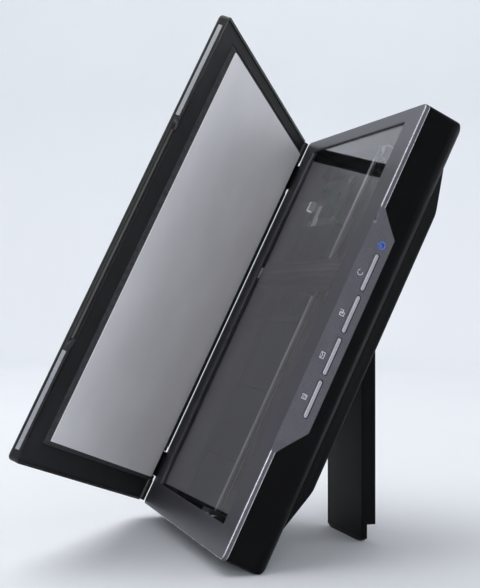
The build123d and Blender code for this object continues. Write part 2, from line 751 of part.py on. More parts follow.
bracket_x = belt_x[1] + 1.6
bracket_thickness = 1.5
with BuildPart() as motor_shaft:
    disc(across(bed, gear_x[0]), drive_y, motor_z, motor_shaft_radius, bracket_x + motor_length - gear_x[0])
save(motor_shaft, "motor_shaft")

with BuildPart() as drive_motor:
    start_x = bracket_x + bracket_thickness
    disc(across(bed, start_x), drive_y, motor_z, motor_radius, motor_length)
    chamfer(drive_motor.edges().filter_by(GeomType.CIRCLE), 0.6)
    disc(across(bed, start_x - 1), drive_y, motor_z, motor_shaft_radius + running_gap,
         motor_length, Mode.SUBTRACT)
save(drive_motor, "drive_motor")

with BuildPart() as motor_bracket:
    prism(
        across(bed, bracket_x),
        [(roll_radius, floor), (drive_y + 11, floor), (drive_y + 11, motor_z + motor_radius),
         (wall + 0.8, motor_z + motor_radius), (wall + 0.8, case_back + roll_radius + 0.5)],
        bracket_thickness,
    )
    block(bed, (bracket_x, bracket_x + 9), (roll_radius, drive_y + 11), (floor, floor + bracket_thickness))
    disc(across(bed, bracket_x - 1), drive_y, motor_z, motor_shaft_radius + 0.4, 4, Mode.SUBTRACT)
    disc(across(bed, bracket_x - 1), drive_y, rail_z, shaft_radius, 4, Mode.SUBTRACT)
save(motor_bracket, "motor_bracket")

with BuildPart() as drive_axle:
    disc(across(bed, gear_x[0] - 0.6), drive_y, rail_z, shaft_radius,
         bracket_x + bracket_thickness - gear_x[0] + 0.6)
    disc(across(bed, gear_x[0] - 1.2), drive_y, rail_z, shaft_radius + 0.7, 0.9)
save(drive_axle, "drive_axle")

with BuildPart() as idler_pulley:
    disc(across(bed, belt_x[0] - 0.6), idler_y, rail_z, pulley_radius, belt_width + 1.2)
    for x in (belt_x[0] - 0.6, belt_x[1] + 0.2):
        disc(across(bed, x), idler_y, rail_z, pulley_radius + 1.6, 0.4)
    disc(across(bed, belt_x[0] - 2), idler_y, rail_z, shaft_radius + running_gap, belt_width + 4,
         Mode.SUBTRACT)
save(idler_pulley, "idler_pulley")

fork_gap = 0.5
with BuildPart() as idler_bracket:
    for x in (belt_x[0] - 0.6 - fork_gap - 1.5, belt_x[1] + 0.6 + fork_gap):
        block(bed, (x, x + 1.5), (idler_y - 7, idler_y + 2.8), (floor, rail_z + 4))
    block(bed, (belt_x[0] - 2.6, belt_x[1] + 2.6), (idler_y - 7, idler_y + 2.8), (floor, floor + 0.9))
    disc(across(bed, belt_x[0] - 5), idler_y, rail_z, shaft_radius, belt_width + 10, Mode.SUBTRACT)
save(idler_bracket, "idler_bracket")

with BuildPart() as idler_axle:
    disc(across(bed, belt_x[0] - 2.6), idler_y, rail_z, shaft_radius, belt_width + 5.2)
save(idler_axle, "idler_axle")

with BuildPart() as drive_belt:
    for grow, mode in ((belt_thickness + belt_slack, Mode.ADD), (belt_slack, Mode.SUBTRACT)):
        with BuildSketch(across(bed, belt_x[0])) as loop:
            with Locations(((drive_y + idler_y) / 2, rail_z)):
                SlotCenterToCenter(idler_y - drive_y, 2 * (pulley_radius + grow))
        extrude(loop.sketch, amount=belt_width, mode=mode)
save(drive_belt, "drive_belt")

# ---- ribbed cover on the floor, over the power parts ----
with BuildPart() as board_shield:
    block(bed, shield_x, shield_y, (floor, shield_top), radius=2 * shield_wall)
    block(
        bed,
        (shield_x[0] + shield_wall, shield_x[1] - shield_wall),
        (shield_y[0] + shield_wall, shield_y[1] - shield_wall),
        (floor - 1, shield_top - shield_wall),
        Mode.SUBTRACT, radius=shield_wall,
    )
    for share in (0.2, 0.4, 0.6, 0.8):
        x = shield_x[0] + share * (shield_x[1] - shield_x[0])
        block(bed, (x, x + rib_thickness), (shield_y[0] + 5, shield_y[1] - 5),
              (shield_top, shield_top + 0.8))
save(board_shield, "board_shield")

# ---- main board, data socket and flat cable ----
standoffs = [(x, y) for x in (main_x[0] + 7.5, main_x[1] - 6) for y in (main_y[0] + 5, main_y[1] - 5)]
with BuildPart() as main_board:
    block(bed, main_x, main_y, (board_z, board_z + board_thickness))
    for x, y in standoffs:
        disc(bed.offset(board_z - 1), x, y, 1.6, 4, Mode.SUBTRACT)
save(main_board, "main_board")

with BuildPart() as board_screws:
    for x, y in standoffs:
        disc(bed.offset(floor), x, y, 1.5, board_lift + board_thickness)
        disc(bed.offset(board_z + board_thickness), x, y, 2.6, 1.2)
save(board_screws, "board_screws")

with BuildPart() as board_chips:
    for x, y, size, height in (
        (34.0, -6.0, 14.0, 1.4),
        (54.0, 6.0, 9.0, 1.2),
        (56.0, -10.0, 7.0, 2.0),
        (22.0, 12.0, 8.0, 2.4),
    ):
        block(bed, (x, x + size), (usb_y + y - size / 2, usb_y + y + size / 2),
              (board_z + board_thickness, board_z + board_thickness + height))
save(board_chips, "board_chips")

with BuildPart() as usb_socket:
    socket_low = board_z + board_thickness
    block(bed, (0.6, main_x[0] + 4.0), (usb_y - usb_width / 2, usb_y + usb_width / 2),
          (socket_low, socket_low + usb_height))
    block(bed, (0, 7.5), (usb_y - usb_width / 2 + 0.4, usb_y + usb_width / 2 - 0.4),
          (socket_low + 0.4, socket_low + usb_height - 0.4), Mode.SUBTRACT)
    block(bed, (2.0, 8.0), (usb_y - 2.6, usb_y + 2.6), (socket_low + 1.2, socket_low + 1.8))
save(usb_socket, "usb_socket")

with BuildPart() as flat_cable:
    block(bed, (main_x[0] + 14.4, main_x[0] + 26.4), (shield_y[1] + 0.3, main_y[0] + 22.0),
          (board_z + board_thickness + 0.1, board_z + board_thickness + 0.4))
save(flat_cable, "flat_cable")

# ---- screws that hold the case together ----
with BuildPart() as case_screws:
    for x, y in screw_places:
        head_low = case_back + screw_head_sink - 2.0
        disc(bed.offset(head_low), x, y, screw_head_radius, 2.0)
        disc(bed.offset(head_low + 2.0), x, y, screw_radius, case_depth - screw_head_sink - 3.0)
        with BuildSketch(bed.offset(head_low)) as recess:
            with Locations((x, y)):
                Rectangle(3.0, 0.8)
                Rectangle(0.8, 3.0)
        extrude(recess.sketch, amount=1.0, mode=Mode.SUBTRACT)
save(case_screws, "case_screws")

# ---- figures for the record ----
print("pivot", tuple(round(v, 2) for v in pivot))
print("hinge axis", tuple(round(v, 2) for v in lid_bed.origin), "leg reach", round(leg_reach, 2))
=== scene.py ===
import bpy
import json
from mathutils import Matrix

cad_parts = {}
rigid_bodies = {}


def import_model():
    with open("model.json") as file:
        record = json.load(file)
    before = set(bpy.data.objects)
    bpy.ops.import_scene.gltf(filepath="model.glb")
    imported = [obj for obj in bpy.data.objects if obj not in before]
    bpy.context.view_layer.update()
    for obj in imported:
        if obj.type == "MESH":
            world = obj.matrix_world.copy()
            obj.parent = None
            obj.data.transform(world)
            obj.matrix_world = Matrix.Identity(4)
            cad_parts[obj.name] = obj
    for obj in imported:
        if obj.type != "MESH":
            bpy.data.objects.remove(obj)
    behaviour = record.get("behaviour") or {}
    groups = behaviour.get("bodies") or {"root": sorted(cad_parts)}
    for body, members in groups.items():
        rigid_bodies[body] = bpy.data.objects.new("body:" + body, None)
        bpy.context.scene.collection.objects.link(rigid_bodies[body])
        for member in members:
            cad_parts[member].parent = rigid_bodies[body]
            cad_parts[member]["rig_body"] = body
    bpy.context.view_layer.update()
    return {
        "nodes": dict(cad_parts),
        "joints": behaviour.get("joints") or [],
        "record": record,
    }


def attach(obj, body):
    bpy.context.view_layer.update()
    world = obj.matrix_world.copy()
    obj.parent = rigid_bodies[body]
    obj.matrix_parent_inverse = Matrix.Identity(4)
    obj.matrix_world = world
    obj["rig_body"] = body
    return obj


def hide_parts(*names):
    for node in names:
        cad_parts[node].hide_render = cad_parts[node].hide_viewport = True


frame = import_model()

import json
import math

import bmesh
import bpy
from mathutils import Matrix, Vector

print("frame loaded:", len(frame["nodes"]), "parts")

# ---- directions of the body and of the open lid, read from the joints ----
jointOf = {j["name"]: j for j in frame["joints"]}
slotOf = {s["node"]: s["material_slot"] for s in frame["record"]["subparts"]}
acrossBody = Vector((1, 0, 0))
alongBody = -Vector(jointOf["lid_hinge"]["axis"])
outOfGlass = Vector(jointOf["lid_lift"]["axis"])
hingePoint = Vector(jointOf["lid_hinge"]["pos_m"])
hingeOffset = {"across": -0.6, "out": 3.9}  # mm, hinge line seen from the bezel's corner
openAngle = math.radians(-jointOf["lid_hinge"]["range_deg"][0])


def placeOf(origin, xDir, yDir, zDir):
    # millimetres in a part's own directions, to metres in the shared frame
    turn = Matrix((xDir, yDir, zDir)).transposed().to_4x4()
    return Matrix.Translation(origin) @ turn @ Matrix.Scale(0.001, 4)


bedOrigin = hingePoint - acrossBody * hingeOffset["across"] / 1000 - outOfGlass * hingeOffset["out"] / 1000
bed = placeOf(bedOrigin, acrossBody, alongBody, outOfGlass)
lidAcross = acrossBody * math.cos(openAngle) + outOfGlass * math.sin(openAngle)
lidOut = outOfGlass * math.cos(openAngle) - acrossBody * math.sin(openAngle)
lidBed = placeOf(hingePoint, lidAcross, alongBody, lidOut)
intoBed = bed.inverted()
turnIntoBed = intoBed.to_3x3().normalized()
bodySize = {"width": 249.0, "length": 364.0, "floor": -34.3}


# ---- materials ----
def linear(colour):
    # sRGB hex to the linear values that a shader takes
    parts = [int(colour[i:i + 2], 16) / 255 for i in (1, 3, 5)]
    return tuple(p / 12.92 if p <= 0.04045 else ((p + 0.055) / 1.055) ** 2.4 for p in parts) + (1.0,)


def addNode(tree, kind, settings=(), values=(), links=()):
    made = tree.nodes.new(kind)
    for key, value in dict(settings).items():
        setattr(made, key, value)
    for socket, value in dict(values).items():
        made.inputs[socket].default_value = value
    for socket, source in dict(links).items():
        tree.links.new(source, made.inputs[socket])
    return made


def perMetre(sizeMm):
    # texture scale for a pattern whose features are this many millimetres apart
    return 1000.0 / sizeMm


def roughRange(tree, look, pattern):
    low, high = look["roughness"]
    return addNode(tree, "ShaderNodeMapRange", values={"To Min": low, "To Max": high},
                   links={"Value": pattern.outputs[0]})


def surface(name, look):
    # one finish: colour that drifts a little, roughness that varies, and a fine relief
    material = bpy.data.materials.new(name)
    material.use_nodes = True
    tree = material.node_tree
    tree.nodes.clear()
    place = addNode(tree, "ShaderNodeTexCoord").outputs["Object"]
    spread = addNode(tree, "ShaderNodeMapping", values={"Scale": look.get("stretch", (1, 1, 1))},
                     links={"Vector": place})
    drift = addNode(tree, "ShaderNodeTexNoise", values={"Scale": perMetre(look["driftMm"]), "Detail": 3.0},
                    links={"Vector": spread.outputs[0]})
    if look.get("flakeMm"):
        flake = addNode(tree, "ShaderNodeTexVoronoi", values={"Scale": perMetre(look["flakeMm"])},
                        links={"Vector": place})
        spots = addNode(tree, "ShaderNodeSeparateColor", links={"Color": flake.outputs["Color"]})
        amount = addNode(tree, "ShaderNodeMath", {"operation": "MULTIPLY_ADD"}, {1: 0.5, 2: 0.0},
                         {0: spots.outputs[0]})
        share = addNode(tree, "ShaderNodeMath", {"operation": "MULTIPLY_ADD"}, {1: 0.5},
                        {0: drift.outputs[0], 2: amount.outputs[0]}).outputs[0]
    else:
        share = drift.outputs[0]
    ramp = addNode(tree, "ShaderNodeValToRGB", links={"Fac": share})
    ramp.color_ramp.elements[0].position, ramp.color_ramp.elements[1].position = 0.3, 0.7
    ramp.color_ramp.elements[0].color = linear(look["colours"][0])
    ramp.color_ramp.elements[1].color = linear(look["colours"][1])
    rough = roughRange(tree, look, drift)
    grain = addNode(tree, "ShaderNodeTexNoise", values={"Scale": perMetre(look["grainMm"]), "Detail": 2.0},
                    links={"Vector": spread.outputs[0]})
    relief = addNode(tree, "ShaderNodeBump", values={"Strength": 1.0, "Distance": look["reliefMm"] / 1000},
                     links={"Height": grain.outputs[0]})
    shader = addNode(tree, "ShaderNodeBsdfPrincipled",
                     values={"Metallic": look.get("metallic", 0.0),
                             "Specular IOR Level": look.get("specular", 0.5),
                             "Coat Weight": look.get("coat", 0.0), "Coat Roughness": 0.1},
                     links={"Base Color": ramp.outputs[0], "Roughness": rough.outputs[0],
                            "Normal": relief.outputs[0]})
    addNode(tree, "ShaderNodeOutputMaterial", links={"Surface": shader.outputs[0]})
    return material


def clearPane(name, look):
    # clear sheet that lets the lamps through to what is behind it
    material = bpy.data.materials.new(name)
    material.use_nodes = True
    tree = material.node_tree
    tree.nodes.clear()
    place = addNode(tree, "ShaderNodeTexCoord").outputs["Object"]
    dust = addNode(tree, "ShaderNodeTexNoise", values={"Scale": perMetre(look["dustMm"]), "Detail": 6.0},
                   links={"Vector": place})
    rough = roughRange(tree, look, dust)
    pane = addNode(tree, "ShaderNodeBsdfPrincipled",
                   values={"Base Color": linear(look["colour"]), "IOR": look["ior"],
                           "Transmission Weight": 1.0},
                   links={"Roughness": rough.outputs[0]})
    through = addNode(tree, "ShaderNodeBsdfTransparent", values={"Color": linear(look["colour"])})
    ray = addNode(tree, "ShaderNodeLightPath")
    mix = addNode(tree, "ShaderNodeMixShader",
                  links={0: ray.outputs["Is Shadow Ray"], 1: pane.outputs[0], 2: through.outputs[0]})
    addNode(tree, "ShaderNodeOutputMaterial", links={"Surface": mix.outputs[0]})
    return material


# flakes and grain are drawn coarser than real ones, so that they still show on a part of this size
finishes = {
    # ABS shot in a fine-grained tool: near black, with soft highlights
    "case_black": surface("abs_satin_moulded", {
        "colours": ("#050506", "#09090a"), "driftMm": 40, "roughness": (0.34, 0.44), "grainMm": 0.6,
        "reliefMm": 0.005, "specular": 0.07}),
    # painted light: a lighter copy of the case ABS, so the shaded inside reads brighter through the glass;
    # rougher, as the unpolished moulding is
    "inner_charcoal": surface("abs_inside_painted_lighter", {
        "colours": ("#0e0e11", "#151518"), "driftMm": 60, "roughness": (0.6, 0.72), "grainMm": 0.9,
        "reliefMm": 0.01, "specular": 0.3}),
    # ABS from a spark-eroded tool: a dry grey-black that scatters light
    "hull_black": surface("abs_spark_eroded", {
        "colours": ("#070708", "#0c0c0d"), "driftMm": 25, "roughness": (0.46, 0.58), "grainMm": 0.8,
        "reliefMm": 0.02, "specular": 0.07}),
    # dark silver paint with mica: satin with a fine sparkle
    "bezel_silver": surface("paint_dark_silver_sprayed", {
        "colours": ("#535258", "#605f66"), "driftMm": 30, "flakeMm": 0.5, "roughness": (0.36, 0.44),
        "grainMm": 0.6, "reliefMm": 0.003, "metallic": 0.55}),
    # brighter silver paint: a clean light line along the lid
    "trim_silver": surface("paint_bright_silver_sprayed", {
        "colours": ("#a9a9ae", "#bdbdc2"), "driftMm": 20, "flakeMm": 0.5, "roughness": (0.3, 0.38),
        "grainMm": 0.6, "reliefMm": 0.002, "metallic": 0.7}),
    # silver paint on small keys: lighter than the face around them
    "button_grey": surface("paint_silver_keycap", {
        "colours": ("#a2a2a8", "#b4b4ba"), "driftMm": 15, "flakeMm": 0.5, "roughness": (0.32, 0.4),
        "grainMm": 0.6, "reliefMm": 0.002, "metallic": 0.5}),
    # float glass, clear with the faint dust a used one has
    "clear_glass": clearPane("glass_float_clear", {
        "colour": "#f5f4f7", "ior": 1.5, "dustMm": 18, "roughness": (0.0, 0.03)}),
    # matt white film: flat white, for the sensor to set itself by
    "white_strip": surface("film_white_matt", {
        "colours": ("#e4e4e2", "#eeeeec"), "driftMm": 30, "roughness": (0.55, 0.65), "grainMm": 0.6,
        "reliefMm": 0.002}),
    # glass-fibre board under green lacquer: glossy, with the weave just showing
    "board_green": surface("lacquer_green_on_fibre_board", {
        "colours": ("#08301c", "#0c3c24"), "driftMm": 6, "roughness": (0.3, 0.42), "grainMm": 1.2,
        "reliefMm": 0.02}),
    # epoxy cast round a chip: dull black
    "chip_black": surface("epoxy_moulded_black", {
        "colours": ("#1b1b1c", "#242425"), "driftMm": 8, "roughness": (0.45, 0.6), "grainMm": 0.4,
        "reliefMm": 0.006}),
    # blue acrylic, polished by its mould: a clear wet gleam
    "light_blue": surface("acrylic_blue_clear", {
        "colours": ("#2f62d8", "#4b82f0"), "driftMm": 3, "roughness": (0.12, 0.2), "grainMm": 0.6,
        "reliefMm": 0.001, "coat": 0.6}),
    # nitrile rubber pressed in a mould: dull black
    "rubber_black": surface("rubber_nitrile_moulded", {
        "colours": ("#161616", "#202020"), "driftMm": 12, "roughness": (0.68, 0.8), "grainMm": 0.7,
        "reliefMm": 0.02, "specular": 0.3}),
    # bright drawn steel, with lines along the drawing direction
    "steel": surface("steel_bright_drawn", {
        "colours": ("#a9abae", "#c3c5c8"), "driftMm": 4, "stretch": (1, 0.1, 0.1), "roughness": (0.24, 0.36),
        "grainMm": 0.5, "reliefMm": 0.003, "metallic": 1.0}),
    # turned brass: warm and bright
    "brass": surface("brass_turned", {
        "colours": ("#b08a3c", "#cba550"), "driftMm": 2, "roughness": (0.22, 0.32), "grainMm": 0.4,
        "reliefMm": 0.002, "metallic": 1.0}),
    # moulded belt: soft black with a faint tooth
    "belt_rubber": surface("rubber_belt_moulded", {
        "colours": ("#141414", "#1c1c1c"), "driftMm": 8, "roughness": (0.6, 0.7), "grainMm": 0.6,
        "reliefMm": 0.015}),
    # unpainted acetal: milky white with a waxy shine
    "white_acetal": surface("acetal_natural_moulded", {
        "colours": ("#dcdbd4", "#e8e7e0"), "driftMm": 6, "roughness": (0.35, 0.45), "grainMm": 0.5,
        "reliefMm": 0.003}),
    # polyester film round the flat cable: cool white
    "cable_white": surface("polyester_film_white", {
        "colours": ("#c9ccd2", "#d6d9df"), "driftMm": 10, "roughness": (0.4, 0.5), "grainMm": 0.9,
        "reliefMm": 0.004}),
    # the lid's ABS, a touch lighter and glossier than the case
    "lid_black": surface("abs_satin_lid", {
        "colours": ("#121213", "#18181a"), "driftMm": 40, "roughness": (0.34, 0.44), "grainMm": 0.5,
        "reliefMm": 0.004, "specular": 0.4}),
    # flat inner frame with a fine even grain: charcoal, hardly any shine
    "frame_charcoal": surface("abs_matt_grained", {
        "colours": ("#1d1d1f", "#242426"), "driftMm": 30, "roughness": (0.62, 0.72), "grainMm": 0.7,
        "reliefMm": 0.02, "specular": 0.3}),
    # closed-cell foam cut with a bevel: dull, with tiny open cells on the cut
    "foam_grey": surface("foam_closed_cell_cut", {
        "colours": ("#303032", "#3f3f42"), "driftMm": 4, "roughness": (0.85, 0.95), "grainMm": 0.9,
        "reliefMm": 0.12, "specular": 0.2}),
    # painted highlight: a bright copy of the bezel's silver paint, laid on the rounded rim and the skirt's
    # foot where the lamps would glint
    "bezel_edge": surface("paint_silver_painted_highlight", {
        "colours": ("#b4b4ba", "#cfcfd5"), "driftMm": 12, "flakeMm": 0.5, "roughness": (0.22, 0.32),
        "grainMm": 0.6, "reliefMm": 0.002, "metallic": 0.6}),
    # pad-printed ink, pale grey, and the same ink in blue over the lamp
    "print_pale": surface("ink_pad_printed_pale", {
        "colours": ("#c3c3c9", "#cfcfd4"), "driftMm": 5, "roughness": (0.45, 0.55), "grainMm": 0.5,
        "reliefMm": 0.002}),
    "print_blue": surface("ink_pad_printed_blue", {
        "colours": ("#2a63e0", "#4a86ff"), "driftMm": 5, "roughness": (0.35, 0.45), "grainMm": 0.5,
        "reliefMm": 0.002}),
    # matt white film laid on the foam: even and soft, without a highlight
    "sheet_white": surface("film_white_on_foam", {
        "colours": ("#e2e1e5", "#eae9ed"), "driftMm": 60, "roughness": (0.5, 0.6), "grainMm": 1.4,
        "reliefMm": 0.012}),
}
for node, piece in frame["nodes"].items():
    piece.data.materials.clear()  # only the finish changes on a CAD part
    piece.data.materials.append(finishes[slotOf[node]])
bodyOf = {node: piece["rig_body"] for node, piece in frame["nodes"].items()}
print("materials made:", len(finishes))


# ---- making pieces ----
tinyMm = 0.001
copyLook = {"mergeM": 0.000002, "cutM": 0.000001, "flatDeg": 0.4}
origin = (0, 0, 0)


def finishPiece(name, bm, finish, body, replaced=(), sharpDeg=38.0, place=None):
    if place is not None:
        bmesh.ops.transform(bm, matrix=place, verts=bm.verts)
        bmesh.ops.recalc_face_normals(bm, faces=bm.faces)
    mesh = bpy.data.meshes.new(name)
    bm.to_mesh(mesh)
    bm.free()
    for face in mesh.polygons:
        face.use_smooth = True
    mesh.set_sharp_from_angle(angle=math.radians(sharpDeg))
    mesh.materials.append(finishes[finish])
    piece = bpy.data.objects.new(name, mesh)
    bpy.context.scene.collection.objects.link(piece)
    normals = piece.modifiers.new("evenNormals", "WEIGHTED_NORMAL")
    normals.keep_sharp = True
    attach(piece, body)
    if replaced:
        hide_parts(*replaced)
    return piece


def roundEdges(bm, edges, radius, steps):
    bmesh.ops.bevel(bm, geom=edges, offset=radius, offset_type="OFFSET", segments=steps, profile=0.5,
                    affect="EDGES", material=-1)


def rise(edge):
    return abs(edge.verts[0].co.z - edge.verts[1].co.z)


def slab(x, y, z, corner=0.0, cornerSteps=8, topEdge=0.0, lowEdge=0.0, edgeSteps=4):
    # block between two corners, with rounded upright edges and rounded rims
    bm = bmesh.new()
    bmesh.ops.create_cube(bm, size=1.0)
    bmesh.ops.scale(bm, verts=bm.verts, vec=(x[1] - x[0], y[1] - y[0], z[1] - z[0]))
    bmesh.ops.translate(bm, verts=bm.verts,
                        vec=((x[0] + x[1]) / 2, (y[0] + y[1]) / 2, (z[0] + z[1]) / 2))
    if corner:
        roundEdges(bm, [e for e in bm.edges if rise(e) > tinyMm], corner, cornerSteps)
    for amount, level in ((topEdge, z[1]), (lowEdge, z[0])):
        if amount:
            rim = [e for e in bm.edges if all(abs(v.co.z - level) < tinyMm for v in e.verts)]
            roundEdges(bm, rim, amount, edgeSteps)
    return bm


def gather(target, source):
    # adds one bmesh to another
    loose = bpy.data.meshes.new("loose")
    source.to_mesh(loose)
    source.free()
    target.from_mesh(loose)
    bpy.data.meshes.remove(loose)


def refinedCopy(node, cuts=()):
    # a clean, merged copy of a CAD part, cut where a finish changes
    bm = bmesh.new()
    bm.from_mesh(frame["nodes"][node].data)
    bmesh.ops.remove_doubles(bm, verts=bm.verts, dist=copyLook["mergeM"])
    bmesh.ops.dissolve_limit(bm, angle_limit=math.radians(copyLook["flatDeg"]), verts=bm.verts,
                             edges=bm.edges)
    for point, normal in cuts:
        bmesh.ops.bisect_plane(bm, geom=bm.verts[:] + bm.edges[:] + bm.faces[:], plane_co=point,
                               plane_no=normal, dist=copyLook["cutM"])
    words = node.split("_")
    name = words[0] + "".join(word.capitalize() for word in words[1:])
    return finishPiece(name, bm, slotOf[node], bodyOf[node], [node])


frameParts = {node: refinedCopy(node) for node in (
    "lower_case", "hull_cover", "stand_leg", "lid_cover", "lid_frame", "sensor_carriage", "scan_sensor",
    "board_shield")}

# the case's inner faces, above its floor, get the lighter copy: painted light on the shaded inside
insideLook = {"belowFloor": 0.2, "inward": 1.0, "upward": 0.3}
caseShell = frameParts["lower_case"]
caseShell.data.materials.append(finishes["inner_charcoal"])
for face in caseShell.data.polygons:
    centre, outward = intoBed @ face.center, turnIntoBed @ face.normal
    inward = ((bodySize["width"] / 2 - centre.x) * outward.x
              + (bodySize["length"] / 2 - centre.y) * outward.y)
    aboveFloor = centre.z > bodySize["floor"] - insideLook["belowFloor"]
    if aboveFloor and (inward > insideLook["inward"] or outward.z > insideLook["upward"]):
        face.material_index = 1
print("shells refined")

# ---- bezel: a painted highlight on its rounded rim and the foot of its skirt, stopping at the wing ----
buttonLook = {"count": 4, "pitch": 33.7, "first": 129.6, "length": 29.2, "width": 3.0, "depth": -13.4,
              "face": 248.85, "back": 245.0, "crown": 0.55, "gap": 0.6, "cornerSteps": 10, "crownSteps": 5,
              "endShort": 0.01, "flange": 1.4, "flangeShort": 0.05, "flangeZ": (-0.8, 0.3)}
bezelLook = {"rimTop": -1.0, "bandTop": -3.35, "wing": (84.0, 278.0), "wingMargin": 2, "wingFrom": 240,
             "side": 1.2, "rimLean": (0.15, 0.97), "footLean": 0.9, "slotFrom": 245, "slotTo": 249,
             "slotMargin": 0.1, "slotLean": 0.5, "hingeSide": 1.0, "hingeLean": -0.2}
bezelBand = bed @ Vector((0, 0, bezelLook["bandTop"]))
wingEnds = [bed @ Vector((0, y, 0)) for y in bezelLook["wing"]]
topBezel = refinedCopy("top_bezel", [(bezelBand, outOfGlass)] + [(point, alongBody) for point in wingEnds])
# second finish: the painted highlight for the rim and the skirt's foot
topBezel.data.materials.append(finishes["bezel_edge"])
# third finish: black case plastic, used as painted shade in the key slots and on the hinge side
topBezel.data.materials.append(finishes["case_black"])
wingLow, wingHigh = bezelLook["wing"]
slotHalf = buttonLook["width"] / 2 + buttonLook["gap"] + bezelLook["slotMargin"]
for face in topBezel.data.polygons:
    centre, outward = intoBed @ face.center, turnIntoBed @ face.normal
    besideWing = wingLow - bezelLook["wingMargin"] < centre.y < wingHigh + bezelLook["wingMargin"]
    onWing = centre.x > bezelLook["wingFrom"] and besideWing
    onSide = (centre.x > bodySize["width"] - bezelLook["side"]
              or not bezelLook["side"] < centre.y < bodySize["length"] - bezelLook["side"])
    rounded = (centre.z > bezelLook["rimTop"]
               and bezelLook["rimLean"][0] < outward.z < bezelLook["rimLean"][1])
    foot = centre.z < bezelLook["bandTop"] and abs(outward.z) < bezelLook["footLean"]
    # painted highlight on the outer sides' rounded rim and skirt foot, not on the wing
    if onSide and (rounded or foot) and not onWing:
        face.material_index = 1
    inSlot = (onWing and abs(centre.z - buttonLook["depth"]) < slotHalf
              and abs(outward.x) < bezelLook["slotLean"]
              and bezelLook["slotFrom"] < centre.x < bezelLook["slotTo"])
    behindHinge = centre.x < bezelLook["hingeSide"] and outward.x < bezelLook["hingeLean"]
    if inSlot or behindHinge:
        face.material_index = 2  # painted shade: black on the slot walls round the keys, and on the hinge side behind the hinges where the silver would catch the lamps
print("bezel done")

# ---- buttons, drawn in the side's own directions: along the body, out of the glass, outwards ----
side = placeOf(bed @ Vector(origin), alongBody, outOfGlass, acrossBody)
half, thick = buttonLook["length"] / 2, buttonLook["width"] / 2
depth, flange = buttonLook["depth"], buttonLook["flange"]
for number in range(buttonLook["count"]):
    middle = buttonLook["first"] + number * buttonLook["pitch"]
    bm = slab((middle - half, middle + half), (depth - thick, depth + thick),
              (buttonLook["back"], buttonLook["face"]), corner=thick - buttonLook["endShort"],
              cornerSteps=buttonLook["cornerSteps"], topEdge=buttonLook["crown"],
              edgeSteps=buttonLook["crownSteps"])
    gather(bm, slab((middle - half - flange, middle + half + flange),
                    (depth - thick - flange, depth + thick + flange),
                    [buttonLook["back"] + z for z in buttonLook["flangeZ"]],
                    corner=thick + flange - buttonLook["flangeShort"],
                    cornerSteps=buttonLook["cornerSteps"]))
    node = f"button_{number + 1}"
    finishPiece(f"button{number + 1}", bm, "button_grey", node, [node], place=side)
print("buttons done")

# ---- printed marks on the leaning face of the wing: plain signs, no lettering ----
wingLook = {"dish": 1.8, "depth": 21.0, "line": 0.5, "ink": 0.06}
wingUp = (outOfGlass * wingLook["depth"] - acrossBody * wingLook["dish"]).normalized()
wingFace = placeOf(bed @ Vector((bodySize["width"], 0, -wingLook["depth"])), alongBody, wingUp,
                   alongBody.cross(wingUp).normalized())
signLook = {
    "document": {"at": (128.6, 14.6), "size": (3.6, 4.6), "textHalf": 1.1, "textStep": 1.1, "thick": 0.15},
    "envelope": {"at": (161.2, 14.6), "size": (5.0, 3.6), "flap": 2.9, "thick": 0.22, "flapDeg": 32,
                 "drop": 0.3, "keepTo": 0.3},
    "copies": {"at": (195.2, 14.6), "size": (3.0, 3.8), "shift": (0.8, 0.7)},
    "turn": {"at": (227.8, 14.2), "radius": 2.0, "sweepDeg": 270, "startDeg": 20},
    "power": {"at": (252.5, 7.6), "radius": 2.7, "sweepDeg": 290, "startDeg": 125, "half": 0.3,
              "stroke": (1.7, 3.6)},
    "ringSteps": 28, "sliver": 0.001,
}


def bar(x, y):
    return slab(x, y, (-wingLook["ink"], wingLook["ink"]))


def frameSign(centre, size):
    # outline of a sheet
    bm, line = bmesh.new(), wingLook["line"]
    left, right = centre[0] - size[0] / 2, centre[0] + size[0] / 2
    low, high = centre[1] - size[1] / 2, centre[1] + size[1] / 2
    for x, y in (
        ((left, right), (low, low + line)),
        ((left, right), (high - line, high)),
        ((left, left + line), (low + line, high - line)),
        ((right - line, right), (low + line, high - line)),
    ):
        gather(bm, bar(x, y))
    return bm


def ringSign(look):
    # part of a ring, spun from the end face of a short bar
    line = wingLook["line"]
    bm = bar((look["radius"] - line / 2, look["radius"] + line / 2), (-signLook["sliver"], 0.0))
    endFace = bmesh.ops.split(bm, geom=[f for f in bm.faces if f.normal.y > 0.9])["geom"]
    bmesh.ops.delete(bm, geom=[f for f in bm.faces if f not in endFace], context="FACES")
    bmesh.ops.rotate(bm, verts=bm.verts, cent=origin,
                     matrix=Matrix.Rotation(math.radians(look["startDeg"]), 3, "Z"))
    bmesh.ops.spin(bm, geom=bm.faces[:] + bm.edges[:] + bm.verts[:], cent=origin, axis=(0, 0, 1),
                   angle=math.radians(look["sweepDeg"]), steps=signLook["ringSteps"])
    bmesh.ops.translate(bm, verts=bm.verts, vec=(*look["at"], 0))
    return bm


